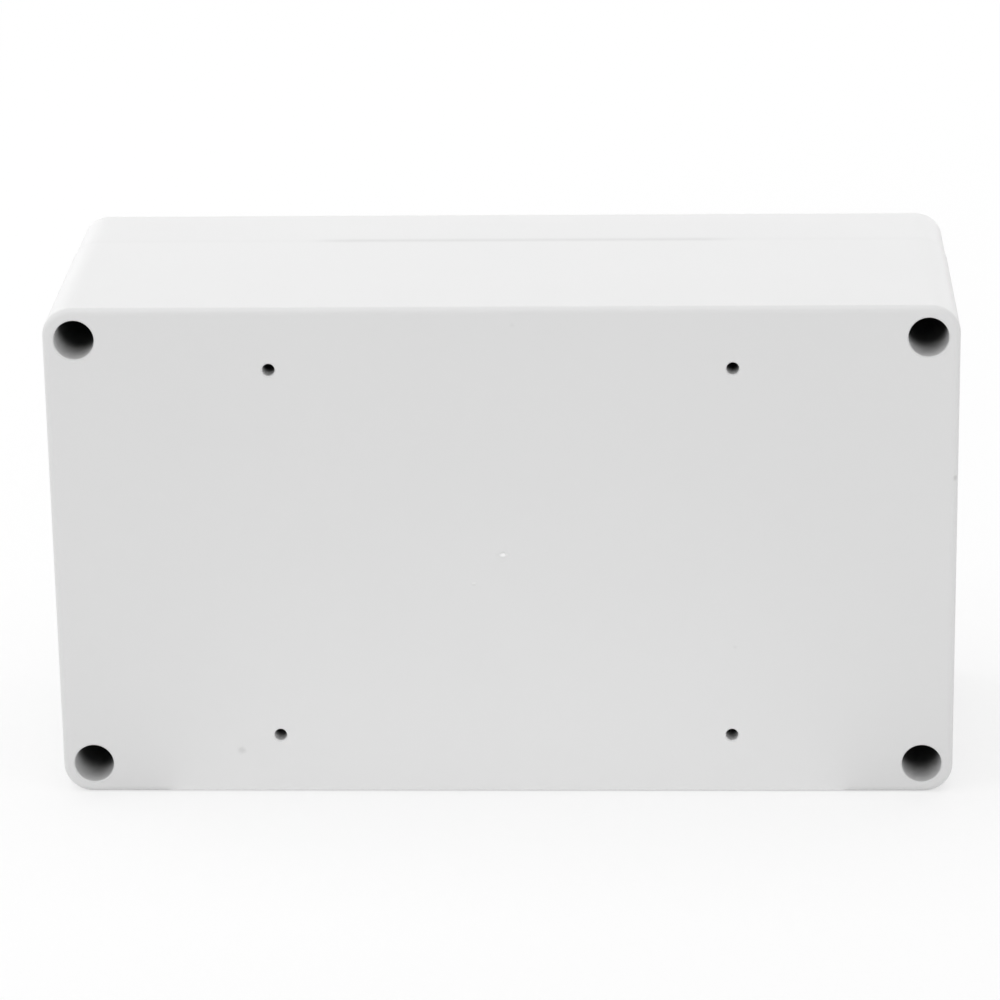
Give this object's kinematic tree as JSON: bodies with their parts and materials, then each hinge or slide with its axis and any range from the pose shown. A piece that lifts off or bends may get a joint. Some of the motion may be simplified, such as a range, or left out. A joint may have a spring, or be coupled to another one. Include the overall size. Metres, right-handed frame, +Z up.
{
  "type": "plastic project box",
  "caption": "Light grey moulded electronics enclosure: a deep base and a shallower lid with a gasket, closed by corner screws, with deep corner holes and small screw holes in its back.",
  "frame": {"origin": "middle of the bounding box's lowest face, on the surface that the box stands on", "axes": "+X along the length, +Y from the base's back face towards the lid, +Z up across the width, with the box standing on one long side"},
  "size_m": [0.158, 0.06, 0.09],
  "materials": {
    "base_plastic": "light grey moulded ABS, satin",
    "lid_plastic": "light grey moulded ABS, satin",
    "gasket_rubber": "soft black neoprene strip",
    "insert_brass": "turned brass",
    "screw_steel": "plain stainless steel"
  },
  "bodies": {
    "base": {"base": "base_plastic", "threaded_inserts": "insert_brass"},
    "lid": {"lid": "lid_plastic", "gasket": "gasket_rubber"},
    "screw_1": {"lid_screw_1": "screw_steel"},
    "screw_2": {"lid_screw_2": "screw_steel"},
    "screw_3": {"lid_screw_3": "screw_steel"},
    "screw_4": {"lid_screw_4": "screw_steel"}
  },
  "joints": [
    {"name": "lid_off", "type": "slide", "parent": "base", "child": "lid", "axis": [0, 1, 0], "range_m": [0, 0.06]},
    {"name": "screw_1_out", "type": "slide", "parent": "lid", "child": "screw_1", "axis": [0, 1, 0], "range_m": [0, 0.01]},
    {"name": "screw_2_out", "type": "slide", "parent": "lid", "child": "screw_2", "axis": [0, 1, 0], "range_m": [0, 0.01]},
    {"name": "screw_3_out", "type": "slide", "parent": "lid", "child": "screw_3", "axis": [0, 1, 0], "range_m": [0, 0.01]},
    {"name": "screw_4_out", "type": "slide", "parent": "lid", "child": "screw_4", "axis": [0, 1, 0], "range_m": [0, 0.01]}
  ]
}
